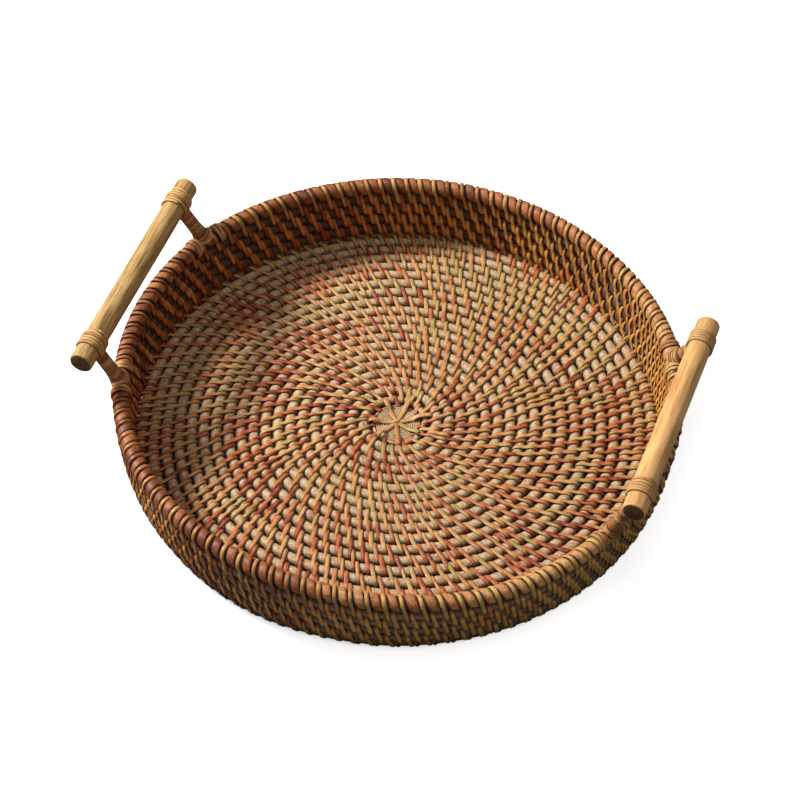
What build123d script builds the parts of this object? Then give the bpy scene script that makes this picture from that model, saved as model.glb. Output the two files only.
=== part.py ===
from build123d import *
import math
import os

# Round serving tray made of coiled rattan: a cane core spirals outwards to make the
# floor, level turns of thicker cane stand on its edge as the wall, and a heavy hoop is
# the rim. Narrow strips tie each turn to the one before it. Two wooden grips stand on
# wrapped posts that rise from the rim.
#
# Millimetres, +Z up. The origin is at the centre of the underside. The grips lie along
# Y, one at -X (left) and one at +X (right). "front" is the -Y end of a grip. A grip's
# slope, in degrees, lowers its rear end.

# ---- driving dimensions -------------------------------------------------------------

strip_width = 1.7
strip_thickness = 0.53
strip_play = 0.04
stitch_spacing = 7.6
most_stitches = 108
spread_gap = 7.4
smallest_gap = 3.7

floor_cane_radius = 2.7
floor_pitch = 6.6
floor_start_radius = 18.0
floor_turns = 19
floor_cane_lengths = ((0, 6), (6, 12), (12, 19))

start_cane_radius = 1.0
start_pitch = 3.0
start_coil_radius = 4.6
start_coil_turns = 3
spoke_count = 7
first_course_stitches = 14

wall_cane_radius = 3.1
wall_row_rise = 7.5
wall_row_flare = 0.45
wall_rows = 4
wall_first_radius = 143.9

rim_core_radius = 4.2
rim_radius = 145.0
rim_height = 42.4
rim_band_width = 3.4

grip_radius = 6.25
grip_length = 140.0
grip_offset = 148.5
grip_edge_chamfer = 0.6
left_grip_height = 68.5
right_grip_height = 69.35
left_grip_slope = 0.0
right_grip_slope = 2.74

post_core_radius = 2.5
post_reach = 55.5
post_foot_angle = 23.0
post_wrap_thickness = 0.8
post_wrap_pitch = 1.9
lashing_turns = 5
lashing_pitch = 2.0
lashing_width = 1.85
lashing_thickness = 1.0
foot_band_width = 4.2
foot_band_thickness = 0.75

# ---- values that follow from them ----------------------------------------------------

full_turn = 2 * math.pi
floor_height = floor_cane_radius + strip_play + strip_thickness
floor_end_radius = floor_start_radius + floor_turns * floor_pitch
strip_outer = strip_play + strip_thickness
start_coil_end_radius = start_coil_radius + start_coil_turns * start_pitch


# ---- shapes that repeat ----------------------------------------------------------------


def loop_face(radius_a, radius_b, spacing):
    """Area inside a belt drawn round two circles, the second at spacing along X."""
    lean = math.acos((radius_a - radius_b) / spacing)
    a_x, a_y = radius_a * math.cos(lean), radius_a * math.sin(lean)
    b_x, b_y = spacing + radius_b * math.cos(lean), radius_b * math.sin(lean)
    outline = [
        Line((a_x, a_y), (b_x, b_y)),
        ThreePointArc((b_x, b_y), (spacing + radius_b, 0), (b_x, -b_y)),
        Line((b_x, -b_y), (a_x, -a_y)),
        ThreePointArc((a_x, -a_y), (-radius_a, 0), (a_x, a_y)),
    ]
    return make_face(outline)


def strip_loop(cane_a, cane_b, spacing):
    """Closed loop of strip round two parallel canes of the given radii."""
    inner = loop_face(cane_a + strip_play, cane_b + strip_play, spacing)
    outer = loop_face(cane_a + strip_outer, cane_b + strip_outer, spacing)
    return extrude(outer - inner, amount=strip_width / 2, both=True).solid()


def band(cane, thickness, width):
    """Closed ring of strip round one cane, in the XY plane."""
    inner = Circle(cane + strip_play)
    outer = Circle(cane + strip_play + thickness)
    return extrude(outer - inner, amount=width / 2, both=True).solid()


def polar(radius, angle, height, centre_x=0.0):
    """Point at a radius and angle round an upright axis."""
    return Vector(centre_x + radius * math.cos(angle), radius * math.sin(angle), height)


def tangent(angle):
    """Level direction along a turn of cane at an angle."""
    return Vector(-math.sin(angle), math.cos(angle), 0)


def set_across(shape, first, second, along):
    """Moves a loop so that it runs from first towards second, lying across along."""
    return Plane(origin=first, x_dir=second - first, z_dir=along).location * shape


def save(name, solids):
    """Writes one node as a group of separate solids."""
    group = Compound(label=name, children=list(solids))
    export_step(group, os.path.join("parts", name + ".step"))


# ---- spiral canes ------------------------------------------------------------------------
# A spiral is drawn as half turns whose centres alternate between two points a quarter
# pitch each side of the axis. The half turns meet smoothly, and neighbouring turns stay
# exactly one pitch apart.


def half_turn_centre(turns, pitch):
    """X of the centre that a half turn is drawn about."""
    return -pitch / 4 if turns % 1 < 0.5 else pitch / 4


def half_turn_radius(turns, start_radius, pitch):
    """Radius about its own centre of the half turn that holds this place."""
    whole = math.floor(turns)
    first_half = turns - whole < 0.5
    return start_radius + pitch / 4 + pitch * whole + (0 if first_half else pitch / 2)


def spiral_point(turns, start_radius, pitch, height, back=0):
    """Point on the spiral, or back turns inside it, after a number of turns."""
    radius = half_turn_radius(turns, start_radius, pitch) - back * pitch
    return polar(radius, turns * full_turn, height, half_turn_centre(turns, pitch))


def spiral_cane(first_turn, last_turn, start_radius, pitch, cane_radius, height):
    """One length of round cane that follows the spiral between two whole turns."""
    arcs = []
    for half in range(2 * first_turn, 2 * last_turn):
        turns = half / 2
        centre = (half_turn_centre(turns, pitch), 0, height)
        radius = half_turn_radius(turns, start_radius, pitch)
        arcs.append(CenterArc(centre, radius, 180 * (half % 2), 180))
    path = Wire(arcs)
    section = Plane(path @ 0, z_dir=path % 0) * Circle(cane_radius)
    return sweep(section, path=path).solid()


def distance_from_axis(turns):
    """How far the floor spiral is from the tray's axis, along its own direction."""
    angle = turns * full_turn
    centre = half_turn_centre(turns, floor_pitch)
    radius = half_turn_radius(turns, floor_start_radius, floor_pitch)
    return centre * math.cos(angle) + math.sqrt(
        radius**2 - (centre * math.sin(angle)) ** 2
    )


# ---- where the stitches go ------------------------------------------------------------------


def stitches_in_turn(turns):
    """Number of stitches that one turn holds at this place on the floor."""
    radius = floor_start_radius + floor_pitch * turns
    return min(most_stitches, full_turn * radius / stitch_spacing)


def floor_stitches():
    """Places of all the floor's stitches, in turns from the start of the spiral.

    Each stitch goes midway between two stitches of the turn inside it. As the turns get
    longer, more stitches are due, and a wide gap then takes two in place of one.
    """
    places = [(i + 0.5) / first_course_stitches for i in range(first_course_stitches)]
    due = len(places)
    index = 0
    while places[index] + 1 < floor_turns:
        low, high = places[index], places[index + 1]
        due += (high - low) * stitches_in_turn((low + high) / 2 + 1)
        radius = floor_start_radius + floor_pitch * (low + 1)
        gap = (high - low) * full_turn * radius
        if due - len(places) >= 1.5 and gap >= spread_gap:
            shares = (0.25, 0.75)
        elif gap >= smallest_gap:
            shares = (0.5,)
        else:
            shares = ()
        places += [low + 1 + share * (high - low) for share in shares]
        index += 1
    return [place for place in places if place < floor_turns]


def between(angles, radius, narrowest):
    """Angles midway between neighbours on a closed ring, leaving out narrow gaps."""
    ordered = sorted(angle % full_turn for angle in angles)
    middles = []
    for low, high in zip(ordered, ordered[1:] + [ordered[0] + full_turn]):
        if (high - low) * radius >= narrowest:
            middles.append((low + high) / 2)
    return middles


# ---- floor -----------------------------------------------------------------------------------


def make_centre():
    """Thin cane coiled up to start the floor, with long stitches across it like spokes.

    The spokes stand midway between the first course's stitches, which stand a little
    aside because the floor's spiral is drawn about shifted centres.
    """
    coil = spiral_cane(
        0, start_coil_turns, start_coil_radius, start_pitch, start_cane_radius, floor_height
    )
    save("centre_start_coil", [coil])
    reach = start_coil_end_radius - start_coil_radius
    loose_radius = start_cane_radius + strip_play
    spoke = strip_loop(loose_radius, loose_radius, reach)
    spokes = []
    for number in range(spoke_count):
        angle = full_turn * number / spoke_count
        stitches_aside = abs(math.sin(angle)) * floor_pitch / 4
        angle += stitches_aside / start_coil_end_radius
        inner = polar(start_coil_radius, angle, floor_height)
        outer = polar(start_coil_end_radius, angle, floor_height)
        spokes.append(set_across(spoke, inner, outer, tangent(angle)))
    save("centre_spokes", spokes)


def make_floor(places):
    """Spiral of cane in spliced lengths, and the stitches of each turn."""
    for number, (first, last) in enumerate(floor_cane_lengths, start=1):
        cane = spiral_cane(
            first, last, floor_start_radius, floor_pitch, floor_cane_radius, floor_height
        )
        save(f"base_core_cane_{number}", [cane])
    stitch = strip_loop(floor_cane_radius, floor_cane_radius, floor_pitch)
    for turn in range(floor_turns):
        loops = []
        for place in places:
            if math.floor(place) != turn:
                continue
            angle = place * full_turn
            outer = spiral_point(place, floor_start_radius, floor_pitch, floor_height)
            if turn == 0:
                loops.append(first_course_loop(place, outer))
                continue
            inner = spiral_point(place, floor_start_radius, floor_pitch, floor_height, 1)
            loops.append(set_across(stitch, outer, inner, tangent(angle)))
        save(f"base_binding_{turn + 1:02d}", loops)


def first_course_loop(place, outer):
    """Stitch that ties the first turn of thick cane to the last turn of thin cane."""
    angle = place * full_turn
    last_thin_turn = start_coil_turns - 1 + place
    thin = spiral_point(last_thin_turn, start_coil_radius, start_pitch, floor_height)
    outward = polar(1, angle, 0)
    spacing = (outer - thin).dot(outward)
    loop = strip_loop(floor_cane_radius, start_cane_radius + 2 * strip_play, spacing)
    return set_across(loop, outer, outer - outward * spacing, tangent(angle))


# ---- wall and rim ------------------------------------------------------------------------------


def wall_row_radius(row):
    """Radius of a wall row, which leans out a little with each row."""
    return wall_first_radius + wall_row_flare * row


def wall_row_height(row):
    """Height of a wall row's centre; row 1 stands on the edge of the floor."""
    return floor_height + wall_row_rise * row


def make_wall(floor_places):
    """Four level rows of cane, and the stitches that tie each row to the one below."""
    for row in range(1, wall_rows + 1):
        hoop = Pos(0, 0, wall_row_height(row)) * Torus(wall_row_radius(row), wall_cane_radius)
        save(f"wall_coil_{row}", [hoop.solid()])
    edge_stitches = []
    for place in floor_places:
        if place >= floor_turns - 1:
            point = spiral_point(place, floor_start_radius, floor_pitch, floor_height)
            edge_stitches.append(math.atan2(point.Y, point.X))
    clear_of_cane_end = 2 * strip_width / floor_end_radius
    angles = []
    for angle in between(edge_stitches, floor_end_radius, smallest_gap):
        angles.append(max(angle % full_turn, clear_of_cane_end))
    row_step = Vector(wall_row_flare, wall_row_rise).length
    stitch = strip_loop(wall_cane_radius, wall_cane_radius, row_step)
    for row in range(1, wall_rows + 1):
        loops = []
        for angle in angles:
            upper = polar(wall_row_radius(row), angle, wall_row_height(row))
            if row == 1:
                loops.append(edge_loop(angle, upper))
                continue
            lower = polar(wall_row_radius(row - 1), angle, wall_row_height(row - 1))
            loops.append(set_across(stitch, upper, lower, tangent(angle)))
        save(f"wall_binding_{row}", loops)
        angles = between(angles, wall_row_radius(row), smallest_gap)
    return angles


def edge_loop(angle, upper):
    """Stitch that ties the first wall row to the floor's outermost turn."""
    turns = floor_turns - 1 + (angle % full_turn) / full_turn
    lower = polar(distance_from_axis(turns), angle, floor_height)
    loop = strip_loop(wall_cane_radius, floor_cane_radius, (lower - upper).length)
    return set_across(loop, upper, lower, tangent(angle))


def make_rim(angles, foot_angles):
    """Heavy hoop, long stitches down to the wall, and short bands between them."""
    save("rim_core", [(Pos(0, 0, rim_height) * Torus(rim_radius, rim_core_radius)).solid()])
    top_radius, top_height = wall_row_radius(wall_rows), wall_row_height(wall_rows)
    drop = Vector(rim_radius - top_radius, rim_height - top_height).length
    stitch = strip_loop(rim_core_radius, wall_cane_radius, drop)
    loops = []
    for angle in angles:
        upper = polar(rim_radius, angle, rim_height)
        lower = polar(top_radius, angle, top_height)
        loops.append(set_across(stitch, upper, lower, tangent(angle)))
    save("rim_binding", loops)
    short_band = band(rim_core_radius, strip_thickness, rim_band_width)
    bands = []
    for angle in between(angles, rim_radius, strip_width + rim_band_width + strip_thickness):
        if any(beside_foot(angle, foot) for foot in foot_angles):
            continue
        bands.append(rim_band(short_band, angle))
    save("rim_wrap", bands)


def rim_band(shape, angle):
    """Puts a band round the rim at an angle."""
    return Plane(polar(rim_radius, angle, rim_height), z_dir=tangent(angle)).location * shape


def beside_foot(angle, foot_angle):
    """True for the two places on the rim nearest to a post."""
    turn = (angle - foot_angle + math.pi) % full_turn - math.pi
    return abs(turn) * rim_radius < stitch_spacing


# ---- handles -----------------------------------------------------------------------------------


def make_grip(side, grip_place):
    """Wooden grip with a small chamfer at each end."""
    grip = Rot(90, 0, 0) * Cylinder(grip_radius, grip_length)
    grip = chamfer(grip.edges().filter_by(GeomType.CIRCLE), grip_edge_chamfer)
    save(f"{side}_grip", [(grip_place * grip).solid()])


def make_post(name, foot_angle, grip_place):
    """Post from the rim to the grip, its wrapping, and the lashings at both ends."""
    end = math.copysign(1.0, math.sin(foot_angle))
    foot = polar(rim_radius, foot_angle, rim_height)
    head = (grip_place * Pos(0, end * post_reach, 0)).position
    axis = (head - foot).normalized()
    length = (head - foot).length

    rim_clear = rim_core_radius + strip_play + foot_band_thickness + strip_play
    grip_clear = grip_radius + strip_play + lashing_thickness + strip_play
    core = Plane(foot, z_dir=axis).location * Pos(0, 0, length / 2) * Cylinder(
        post_core_radius, length
    )
    core -= Pos(0, 0, rim_height) * Torus(rim_radius, rim_clear)
    core -= grip_place * Rot(90, 0, 0) * Cylinder(grip_clear, grip_length)
    save(f"{name}_post", [core.solid()])

    wrap = band(post_core_radius, post_wrap_thickness, strip_width)
    wrap_reach = post_core_radius + strip_play + post_wrap_thickness
    lean = abs(axis.dot(tangent(foot_angle)))
    first = rim_clear + strip_width + 2 * wrap_reach * lean
    last = length - grip_clear - post_wrap_pitch
    count = int((last - first) / post_wrap_pitch) + 1
    wraps = []
    for number in range(count):
        place = foot + axis * (first + number * post_wrap_pitch)
        wraps.append(Plane(place, z_dir=axis).location * wrap)
    save(f"{name}_post_wrap", wraps)

    turn = band(grip_radius, lashing_thickness, lashing_width)
    turns = []
    for number in range(lashing_turns):
        reach = end * post_reach + (number - (lashing_turns - 1) / 2) * lashing_pitch
        turns.append(grip_place * Pos(0, reach, 0) * Rot(90, 0, 0) * turn)
    save(f"{name}_grip_lashing", turns)


def make_foot_lashing(name, foot_angle, angles):
    """Wide bands that hold the rim on each side of a post's foot."""
    wide_band = band(rim_core_radius, foot_band_thickness, foot_band_width)
    bands = []
    for angle in between(angles, rim_radius, strip_width + foot_band_width + strip_thickness):
        if beside_foot(angle, foot_angle):
            bands.append(rim_band(wide_band, angle))
    save(f"{name}_foot_lashing", bands)


def nearest(angles, wanted):
    """The angle in a list that is nearest to the one wanted."""
    return min(angles, key=lambda a: abs((a - wanted + math.pi) % full_turn - math.pi))


def make_handles(angles):
    """Both handles; each post stands over the rim stitch nearest its place."""
    lean = math.radians(post_foot_angle)
    left_place = Pos(-grip_offset, 0, left_grip_height) * Rot(-left_grip_slope, 0, 0)
    right_place = Pos(grip_offset, 0, right_grip_height) * Rot(-right_grip_slope, 0, 0)
    sides = (
        ("left", left_place, {"front": math.pi + lean, "rear": math.pi - lean}),
        ("right", right_place, {"front": -lean, "rear": lean}),
    )
    foot_angles = []
    for side, grip_place, corners in sides:
        make_grip(side, grip_place)
        for corner, wanted in corners.items():
            foot_angle = nearest(angles, wanted)
            foot_angles.append(foot_angle)
            make_post(f"{side}_{corner}", foot_angle, grip_place)
            make_foot_lashing(f"{side}_{corner}", foot_angle, angles)
    return foot_angles


os.makedirs("parts", exist_ok=True)
stitch_places = floor_stitches()
make_centre()
make_floor(stitch_places)
rim_angles = make_wall(stitch_places)
make_rim(rim_angles, make_handles(rim_angles))
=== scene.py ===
import math

import bpy
import numpy as np
from mathutils import Matrix, Vector


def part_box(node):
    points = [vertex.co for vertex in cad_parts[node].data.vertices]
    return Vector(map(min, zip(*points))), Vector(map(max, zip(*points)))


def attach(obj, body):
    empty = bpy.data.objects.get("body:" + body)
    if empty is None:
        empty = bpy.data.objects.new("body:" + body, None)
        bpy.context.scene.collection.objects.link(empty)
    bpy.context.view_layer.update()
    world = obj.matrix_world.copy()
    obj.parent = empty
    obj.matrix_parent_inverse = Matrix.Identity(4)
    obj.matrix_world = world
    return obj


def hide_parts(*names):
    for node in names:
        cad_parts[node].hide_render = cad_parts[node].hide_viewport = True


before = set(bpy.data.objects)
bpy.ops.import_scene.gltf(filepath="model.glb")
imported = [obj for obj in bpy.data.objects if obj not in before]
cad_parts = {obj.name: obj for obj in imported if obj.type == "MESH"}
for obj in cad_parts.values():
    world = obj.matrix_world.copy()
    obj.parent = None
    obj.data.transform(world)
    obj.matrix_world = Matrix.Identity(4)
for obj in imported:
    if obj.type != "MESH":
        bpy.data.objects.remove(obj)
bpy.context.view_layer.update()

# A round coiled-rattan tray. Lengths of the tray are millimetres, and its meshes are
# written in metres; the lamps and the camera are placed in metres. One cane winds out
# from the centre as the floor, then climbs as the wall. A place along it is counted in
# turns: the floor's thick cane runs from 0 to FLOOR_TURNS, the thin starting coil is
# below 0, and the wall rows follow the floor.

MM = 0.001
TAU = 2 * math.pi
SEED = 11

# The winding cane. SEAM is the direction in which every turn begins. The cane thickens
# over BLEND_TURNS before the floor and over THICKER_OVER of a turn at the wall's foot.
SEAM = math.radians(200)
FLOOR_TURNS = 19
WALL_ROWS = 4
ALL_TURNS = FLOOR_TURNS + WALL_ROWS
FLOOR_PITCH = 6.6
FLOOR_START = 18.0
THIN_PITCH = 1.25
THIN_TURNS = 10.4
BLEND_TURNS = 1.6
GAP_SHARE = 0.07
CANE_FLATNESS = 0.87
FLOOR_HEIGHT = 3.74
EDGE_RADIUS = 143.4
EDGE_SINK = 0.75
ROW_RISE = 7.75
ROW_FLARE = 0.5
WALL_CANE = 3.9
THICKER_OVER = 0.3

# Up to turn LEVEL_FROM the cane is an even spiral. From there to the floor's edge each
# turn does more of its stepping outwards just after the seam, and the rest runs level.
LEVEL_FROM = 8
LEVEL_SHARPNESS = 12.0

# The hoop inside the rim.
RIM_RADIUS = 145.0
RIM_HEIGHT = 42.4
RIM_CORE = 3.85

# Stitches. Beyond turn EVEN_FROM they are drawn towards an even spacing.
FIRST_PLACE = -0.75
FIRST_STITCHES = 14
STITCH_SPACING = 7.6
MOST_STITCHES = 108
EVEN_FROM = 17

# Waves of hand work: up and down in the floor, and in the wall's height and roundness.
FLOOR_WAVE = 0.35
FLOOR_WAVE_SCALE = 0.03
HIGHEST_FLOOR_WAVE = 0.9
HEIGHT_WAVE = 0.55
OVAL_WAVE = 0.9
FIVE_SIDED_WAVE = 0.5
WALL_TOP = 40

# Direction of the lighter side; tones are darker towards the opposite side.
LIGHT_END = math.radians(5)

# The wall is worn outwards and sits lower towards the front of the right grip.
SPLAY_ANGLE = math.radians(-45)
SPLAY_HALF_ANGLE = math.radians(50)
SPLAY_DROP = 3.6
SPLAY_PUSH = 3.4

# Strips. While it crosses the top, a strip runs forward by twice STRIP_LEAN_SHARE of the
# distance between stitches. Long strips tie the rim down; pads wrap the hoop alone.
STRIP_HALF_WIDTH = 1.16
STRIP_THICKNESS = 0.58
STRIP_LEAN_SHARE = 0.29
WALL_STRIP_SCALE = 1.08
LONG_HALF_WIDTH = 1.2
LONG_THICKNESS = 0.8
PAD_HALF_WIDTH = 2.4
PAD_THICKNESS = 0.62

# Where the thin coil ends, and the splices of the floor's thick cane, in turns.
THIN_END = -1.05
FLOOR_SPLICES = (THIN_END, 6.02, 12.03, FLOOR_TURNS)

# The view and the lamps turn together about the upright axis; distances in metres.
VIEW_TURN = math.radians(20)
CAMERA_ELEVATION = math.radians(49.43)
CAMERA_DISTANCE = 1.358
CAMERA_LENS = 113.0
CAMERA_SHIFT = (0.0037, 0.0351)
LAMP_TARGET = (0, 0, 0.02)
KEY_PLACE, KEY_SIZE, KEY_POWER = (-1.1, 0.5, 1.12), 0.36, 48
FILL_PLACE, FILL_SIZE, FILL_POWER = (0.3, -0.3, 1.8), 1.0, 7
SKY_STRENGTH = 0.17
GROUND_GLOW = 0.75
GROUND_HALF = 6.0
# Painted shadow: within UNDER_TRAY of the axis the ground is dark, bright by BEYOND_TRAY.
UNDER_TRAY, BEYOND_TRAY = 0.136, 0.146


def srgb(red, green, blue):
    """Linear colour from display values that run from 0 to 255."""
    out = []
    for value in (red, green, blue):
        value /= 255
        out.append(value / 12.92 if value <= 0.04045 else ((value + 0.055) / 1.055) ** 2.4)
    return (*out, 1.0)


def ease(x):
    """Smooth step from 0 to 1."""
    x = np.clip(x, 0.0, 1.0)
    return x * x * (3 - 2 * x)


def wave(x, seed, lowest=1.0, highest=4.0):
    """Smooth irregular wave between about -1 and 1, the same for the same seed."""
    terms = 5
    rng = np.random.default_rng(SEED + seed)
    total = np.zeros_like(np.asarray(x, dtype=float))
    for _ in range(terms):
        total += np.sin(x * rng.uniform(lowest, highest) + rng.uniform(0, TAU))
    return total / math.sqrt(terms)


# ---- the path of the cane -----------------------------------------------


def pitch_at(turns):
    """Distance between neighbouring turns near the centre, where the cane thickens."""
    return THIN_PITCH + (FLOOR_PITCH - THIN_PITCH) * ease((turns + BLEND_TURNS) / BLEND_TURNS)


START_TURNS = np.linspace(-THIN_TURNS, 0, 1000)
START_GROWTH = np.concatenate([[0], np.cumsum(pitch_at(START_TURNS[1:]) * np.diff(START_TURNS))])
START_RADII = FLOOR_START - START_GROWTH[-1] + START_GROWTH


def cane_path(turns):
    """Distance from the axis, height and cane radius after a number of turns."""
    turns = np.asarray(turns, dtype=float)
    whole = np.floor(turns)
    part = turns - whole
    levelled = np.clip(whole - LEVEL_FROM, 0, None) / (FLOOR_TURNS - 1 - LEVEL_FROM)
    sharpness = np.minimum(LEVEL_SHARPNESS ** levelled, LEVEL_SHARPNESS)
    step = 1 - (1 - part) ** sharpness
    floor_radius = FLOOR_START + FLOOR_PITCH * (whole + step)
    start_radius = np.interp(turns, START_TURNS, START_RADII)
    row = whole - FLOOR_TURNS
    climb = np.sqrt(np.clip(1 - (1 - step) ** 2, 0, 1))
    climbed = np.clip(row + climb, 0, WALL_ROWS)
    wall_radius = EDGE_RADIUS + ROW_FLARE * (row + step)
    thick_radius = np.where(turns < FLOOR_TURNS, floor_radius, wall_radius)
    radius = np.where(turns < 0, start_radius, thick_radius)
    rise = ROW_RISE * climbed - EDGE_SINK * np.minimum(climbed, 1)
    height = np.where(turns < FLOOR_TURNS, FLOOR_HEIGHT, FLOOR_HEIGHT + rise)
    pitch = np.where(turns < 0, pitch_at(turns - 0.35), FLOOR_PITCH)
    cane = pitch * (1 - GAP_SHARE) / 2
    cane = cane + (WALL_CANE - cane) * ease((turns - FLOOR_TURNS) / THICKER_OVER)
    return radius, height, cane


def polar(radius, angle, height):
    """Points from a distance from the axis, an angle round it and a height."""
    return np.stack([radius * np.cos(angle), radius * np.sin(angle), height], axis=-1)


def on_tray(radius, turns, height):
    """Points from a distance from the axis, a place in turns and a height."""
    return polar(radius, turns * TAU + SEAM, height)


def outward(tilt, angle):
    """Directions at a tilt from straight up, towards an angle round the axis."""
    return polar(np.sin(tilt), angle, np.cos(tilt))


def uneven(points):
    """Small unevenness of hand work, the same for every piece at the same place."""
    out = points.copy()
    x, y, z = points[..., 0], points[..., 1], points[..., 2]
    angle = np.arctan2(y, x)
    distance = np.hypot(x, y)
    low = FLOOR_WAVE + FLOOR_WAVE * wave(x * FLOOR_WAVE_SCALE, 1) * wave(y * FLOOR_WAVE_SCALE, 2)
    low = np.clip(low, 0, HIGHEST_FLOOR_WAVE)
    up = np.clip(z / WALL_TOP, 0, 1.2)
    from_splay = (angle - SPLAY_ANGLE + math.pi) % TAU - math.pi
    splay = np.exp(-((from_splay / SPLAY_HALF_ANGLE) ** 2))
    lift = HEIGHT_WAVE * np.sin(3 * angle + 0.7) - SPLAY_DROP * splay
    out[..., 2] += low * (1 - 0.5 * up) + up * lift
    roundness = OVAL_WAVE * np.sin(2 * angle + 1.1) + FIVE_SIDED_WAVE * np.sin(5 * angle)
    push = up * (roundness + SPLAY_PUSH * splay)
    scale = 1 + push / np.maximum(distance, 60)
    out[..., 0] *= scale
    out[..., 1] *= scale
    return out


def stitch_places():
    """Places of every stitch: each lies between two stitches of the turn inside it.

    Where the turns have grown and stitches are owed, one gap takes two of them. Near
    the floor's edge and on the wall the stitches are drawn towards an even spacing.
    """
    rng = np.random.default_rng(SEED)
    places = [FIRST_PLACE + i / FIRST_STITCHES for i in range(FIRST_STITCHES + 1)]
    ahead = np.linspace(places[-1], ALL_TURNS + 0.5, 6000)
    rate = np.minimum(MOST_STITCHES, TAU * cane_path(ahead)[0] / STITCH_SPACING)
    wanted = len(places) + np.concatenate([[0], np.cumsum(rate[1:] * np.diff(ahead))])
    two_owed, two_owed_settled = 1.45, 2.2
    none_owed, none_owed_settled = -0.6, -1.6
    wander, settled_wander, pull = 0.05, 0.04, 0.4
    index = 0
    while places[index] + 1 < ALL_TURNS:
        low, high = places[index], places[index + 1]
        owed = float(np.interp(high + 1, ahead, wanted)) - len(places)
        settled = low + 1 > EVEN_FROM
        if owed > (two_owed_settled if settled else two_owed + rng.uniform(-0.3, 0.3)):
            shares = (0.25, 0.75)
        elif settled and owed > none_owed_settled:
            even = (places[-1] + 1 / MOST_STITCHES - low - 1) / (high - low)
            drawn = pull * min(max(even - 0.5, -0.5), 0.5)
            shares = (0.5 + drawn + rng.uniform(-settled_wander, settled_wander),)
        elif owed > none_owed:
            shares = (0.5 + rng.uniform(-wander, wander),)
        else:
            shares = ()
        places += [low + 1 + share * (high - low) for share in shares]
        index += 1
    return np.array([place for place in places if place < ALL_TURNS])


# ---- meshes -------------------------------------------------------------


def end_faces(first, around):
    """Quads that close a tube's end, given the number of its ring's first point."""
    k = np.arange(around // 2 - 1)
    return first + np.stack([k, k + 1, around - 2 - k, around - 1 - k], axis=-1)


def tube_faces(rings, around, closed):
    """Quads that join rings of points, with quad caps unless the tube closes on itself."""
    ring = np.arange(rings if closed else rings - 1)
    corner = np.arange(around)
    a = ring[:, None] * around + corner[None, :]
    b = ring[:, None] * around + (corner[None, :] + 1) % around
    next_ring = ((ring + 1) % rings)[:, None] * around
    c = next_ring + (corner[None, :] + 1) % around
    d = next_ring + corner[None, :]
    quads = np.stack([a, b, c, d], axis=-1).reshape(-1, 4)
    if closed:
        return quads
    near, far = end_faces(0, around), end_faces((rings - 1) * around, around)
    caps = np.stack([near[:, ::-1], far], axis=1).reshape(-1, 4)
    return np.concatenate([quads, caps])


class Piece:
    """Points, faces and point values gathered for one object."""

    def __init__(self):
        self.points, self.faces, self.values, self.count = [], [], {}, 0

    def add(self, points, faces, **values):
        """Adds a tube of points shaped (rings, around, 3)."""
        flat = points.reshape(-1, 3)
        self.points.append(flat)
        self.faces.append(faces + self.count)
        # along, across and tone place the colour; deep is the share of painted shade.
        for name in ("along", "across", "tone", "deep"):
            value = np.broadcast_to(values.get(name, 0.0), points.shape[:2])
            self.values.setdefault(name, []).append(value.reshape(-1))
        self.count += len(flat)

    def build(self, name, material, slot, *nodes, warp=True):
        """Makes the object, rides it on the root and has it stand for its CAD nodes."""
        points = np.concatenate(self.points)
        if warp:
            points = uneven(points)
        faces = np.concatenate(self.faces).astype(np.int32)
        mesh = bpy.data.meshes.new(name)
        mesh.vertices.add(len(points))
        mesh.vertices.foreach_set("co", (points * MM).astype(np.float32).ravel())
        mesh.loops.add(faces.size)
        mesh.loops.foreach_set("vertex_index", faces.ravel())
        mesh.polygons.add(len(faces))
        mesh.polygons.foreach_set("loop_start", np.arange(0, faces.size, 4, dtype=np.int32))
        mesh.update(calc_edges=True)
        mesh.validate()
        mesh.shade_smooth()
        for key, parts in self.values.items():
            layer = mesh.attributes.new(key, "FLOAT", "POINT")
            layer.data.foreach_set("value", np.concatenate(parts).astype(np.float32))
        mesh.materials.append(material)
        piece = bpy.data.objects.new(name, mesh)
        bpy.context.scene.collection.objects.link(piece)
        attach(piece, "root")
        if nodes:
            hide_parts(*nodes)
        return piece


def unit(vectors):
    """Vectors scaled to length one."""
    return vectors / np.maximum(np.linalg.norm(vectors, axis=-1, keepdims=True), 1e-9)


def arc_length(points):
    """Distance along a line of points."""
    steps = np.linalg.norm(np.diff(points, axis=0), axis=1)
    return np.concatenate([[0], np.cumsum(steps)])


def directions(points, closed):
    """Unit vectors along a line of points."""
    if closed:
        return unit(np.roll(points, -1, axis=0) - np.roll(points, 1, axis=0))
    return unit(np.gradient(points, axis=0))


# Canes thinner than this get less painted shade where they meet their neighbours.
FULLY_DARK_RADIUS = 2.4


def round_cane(piece, centres, side, radii, around=12, closed=False, tone=0.5, shade=0.0):
    """Adds a round cane along centres; side is a rough sideways direction at each.

    shade is how much painted shade darkens the cane on that side, at each centre.
    """
    ahead = directions(centres, closed)
    side = unit(side - (side * ahead).sum(-1, keepdims=True) * ahead)
    other = np.cross(ahead, side) * CANE_FLATNESS
    turn = np.arange(around) / around * TAU
    level, upright = np.cos(turn)[None, :], np.sin(turn)[None, :]
    ring = level[..., None] * side[:, None] + upright[..., None] * other[:, None]
    radii = np.broadcast_to(radii, len(centres))
    points = centres[:, None] + ring * radii[:, None, None]
    along = arc_length(centres)[:, None]
    across = np.abs(turn / math.pi - 1)[None, :]
    # Painted shade on the sides that face the neighbouring canes and on the side given by shade.
    deep = np.abs(level) ** 3 * np.clip(radii / FULLY_DARK_RADIUS, 0, 1)[:, None]
    facing = np.sqrt(np.clip(level, 0, 1))
    deep = np.maximum(deep, np.broadcast_to(shade, len(centres))[:, None] * facing)
    faces = tube_faces(len(centres), around, closed)
    piece.add(points, faces, along=along, across=across, tone=tone, deep=deep)


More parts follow.
